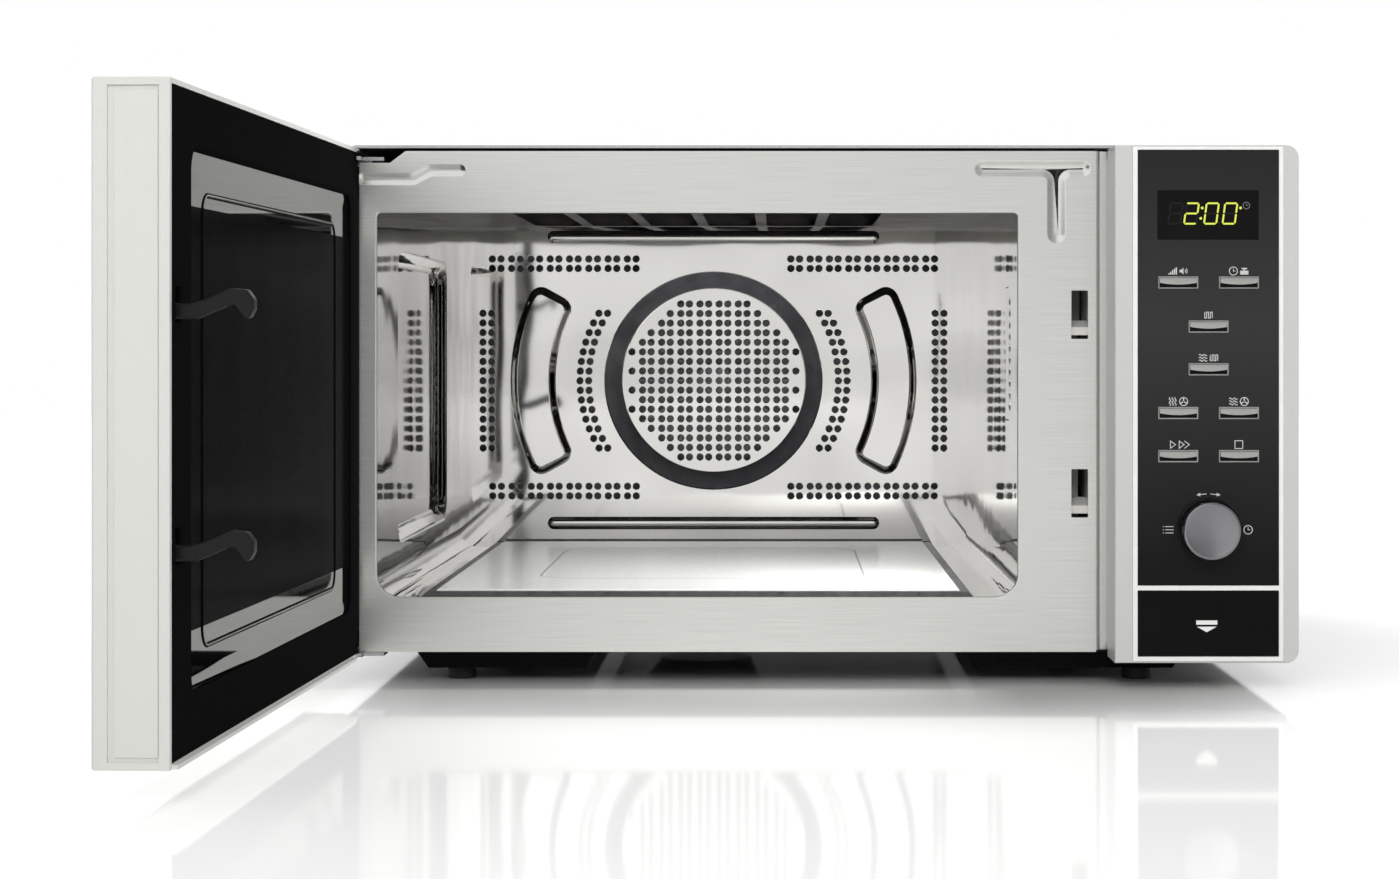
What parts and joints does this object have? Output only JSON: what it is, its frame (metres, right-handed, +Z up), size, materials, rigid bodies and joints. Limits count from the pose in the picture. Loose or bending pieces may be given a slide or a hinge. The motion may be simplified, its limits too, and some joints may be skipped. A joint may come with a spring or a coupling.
{
  "type": "microwave oven",
  "caption": "Countertop microwave oven with hot-air fan and grill: side-hinged door, flat ceramic floor, perforated rear wall, and a control panel with push buttons and a turning knob.",
  "frame": {"origin": "on the surface that the feet stand on, under the middle of the cabinet's width, in the plane of the steel front frame", "axes": "+Z up, +X to the right seen from the front, +Y from the front to the rear"},
  "size_m": [0.5589, 0.8967, 0.298],
  "materials": {
    "brushed_steel": "horizontal brushed stainless steel",
    "cavity_steel": "bright stainless steel",
    "cover_paint": "silver-grey powder coat",
    "galvanised": "galvanised steel",
    "black_steel": "black enamelled steel",
    "bright_steel": "plain steel",
    "ceramic": "matt glass-ceramic",
    "silicone": "silicone",
    "silver_plastic": "silver moulded plastic",
    "white_plastic": "white moulded plastic",
    "black_plastic": "black moulded plastic",
    "gloss_black": "gloss black",
    "display": "dark window",
    "dark_glass": "dark tinted glass",
    "spun_aluminium": "spun face",
    "aluminium": "plain",
    "board": "circuit board",
    "copper_coil": "enamelled copper and laminations",
    "feet_rubber": "moulded rubber",
    "quartz": "quartz tube"
  },
  "bodies": {
    "cabinet": {"front_frame": "brushed_steel", "cavity_wrap": "cavity_steel", "cavity_roof": "cavity_steel", "cavity_rear_wall": "cavity_steel", "lamp_screen": "cavity_steel", "outer_cover": "cover_paint", "base_plate": "black_steel", "rear_panel": "galvanised", "feet": "feet_rubber", "hinge_brackets": "bright_steel", "ceramic_floor": "ceramic", "floor_seal": "silicone", "stirrer_well": "cavity_steel", "waveguide": "galvanised", "magnetron": "aluminium", "transformer": "copper_coil", "capacitor": "aluminium", "rectifier_diode": "black_plastic", "fan_shroud": "black_plastic", "fan_motor": "galvanised", "convection_housing": "galvanised", "convection_heater": "bright_steel", "convection_motor": "galvanised", "stirrer_motor": "galvanised", "grill_element": "quartz", "grill_housing": "galvanised", "cavity_lamp": "white_plastic", "control_board": "board", "noise_filter": "board", "latch_board": "white_plastic", "interlock_switches": "black_plastic", "thermal_cutouts": "bright_steel", "cord_gland": "black_plastic", "cabinet_screws": "bright_steel", "panel_housing": "silver_plastic", "panel_trim": "white_plastic", "fascia": "gloss_black", "display_window": "display", "knob_ring": "spun_aluminium"},
    "door": {"door_frame": "silver_plastic", "door_glass": "dark_glass", "door_panel": "black_steel", "choke_cover": "black_plastic", "inner_window": "gloss_black"},
    "latch_key": {"latch_key": "black_plastic"},
    "knob": {"knob": "spun_aluminium"},
    "open_button": {"open_button": "gloss_black"},
    "release_slider": {"release_slider": "white_plastic"},
    "stirrer": {"stirrer": "aluminium"},
    "convection_fan": {"convection_fan": "galvanised"},
    "cooling_fan": {"cooling_fan": "black_plastic"},
    "button_row1_left": {"button_row1_left": "spun_aluminium"},
    "button_row1_right": {"button_row1_right": "spun_aluminium"},
    "button_row2": {"button_row2": "spun_aluminium"},
    "button_row3": {"button_row3": "spun_aluminium"},
    "button_row4_left": {"button_row4_left": "spun_aluminium"},
    "button_row4_right": {"button_row4_right": "spun_aluminium"},
    "button_row5_left": {"button_row5_left": "spun_aluminium"},
    "button_row5_right": {"button_row5_right": "spun_aluminium"}
  },
  "joints": [
    {"name": "door_hinge", "type": "hinge", "parent": "cabinet", "child": "door", "pos_m": [-0.255, -0.0045, 0.15], "axis": [0, 0, -1], "range_deg": [-92, 5]},
    {"name": "latch_key_slide", "type": "slide", "parent": "door", "child": "latch_key", "axis": [0, 0, 1], "range_m": [0, 0.0055], "stiffness_N_per_m": 150, "springref_m": -0.004},
    {"name": "knob_turn", "type": "hinge", "parent": "cabinet", "child": "knob", "pos_m": [0.2111, -0.04, 0.0877], "axis": [0, 1, 0], "continuous": true},
    {"name": "open_button_push", "type": "slide", "parent": "cabinet", "child": "open_button", "axis": [0, 1, 0], "range_m": [0, 0.0045], "stiffness_N_per_m": 400, "springref_m": -0.002},
    {"name": "release_slider_lift", "type": "slide", "parent": "cabinet", "child": "release_slider", "axis": [0, 0, 1], "range_m": [0, 0.0045]},
    {"name": "stirrer_spin", "type": "hinge", "parent": "cabinet", "child": "stirrer", "pos_m": [-0.06615, 0.205, 0.04], "axis": [0, 0, 1], "continuous": true},
    {"name": "convection_fan_spin", "type": "hinge", "parent": "cabinet", "child": "convection_fan", "pos_m": [-0.06615, 0.43, 0.1629], "axis": [0, 1, 0], "continuous": true},
    {"name": "cooling_fan_spin", "type": "hinge", "parent": "cabinet", "child": "cooling_fan", "pos_m": [0.188, 0.46, 0.204], "axis": [0, 1, 0], "continuous": true},
    {"name": "button_row1_left_push", "type": "slide", "parent": "cabinet", "child": "button_row1_left", "axis": [0, 1, 0], "range_m": [0, 0.0012], "stiffness_N_per_m": 500, "springref_m": -0.001},
    {"name": "button_row1_right_push", "type": "slide", "parent": "cabinet", "child": "button_row1_right", "axis": [0, 1, 0], "range_m": [0, 0.0012], "stiffness_N_per_m": 500, "springref_m": -0.001},
    {"name": "button_row2_push", "type": "slide", "parent": "cabinet", "child": "button_row2", "axis": [0, 1, 0], "range_m": [0, 0.0012], "stiffness_N_per_m": 500, "springref_m": -0.001},
    {"name": "button_row3_push", "type": "slide", "parent": "cabinet", "child": "button_row3", "axis": [0, 1, 0], "range_m": [0, 0.0012], "stiffness_N_per_m": 500, "springref_m": -0.001},
    {"name": "button_row4_left_push", "type": "slide", "parent": "cabinet", "child": "button_row4_left", "axis": [0, 1, 0], "range_m": [0, 0.0012], "stiffness_N_per_m": 500, "springref_m": -0.001},
    {"name": "button_row4_right_push", "type": "slide", "parent": "cabinet", "child": "button_row4_right", "axis": [0, 1, 0], "range_m": [0, 0.0012], "stiffness_N_per_m": 500, "springref_m": -0.001},
    {"name": "button_row5_left_push", "type": "slide", "parent": "cabinet", "child": "button_row5_left", "axis": [0, 1, 0], "range_m": [0, 0.0012], "stiffness_N_per_m": 500, "springref_m": -0.001},
    {"name": "button_row5_right_push", "type": "slide", "parent": "cabinet", "child": "button_row5_right", "axis": [0, 1, 0], "range_m": [0, 0.0012], "stiffness_N_per_m": 500, "springref_m": -0.001}
  ],
  "couplings": [
    {"joint": "release_slider_lift", "follows": "open_button_push", "ratio": 1}
  ]
}
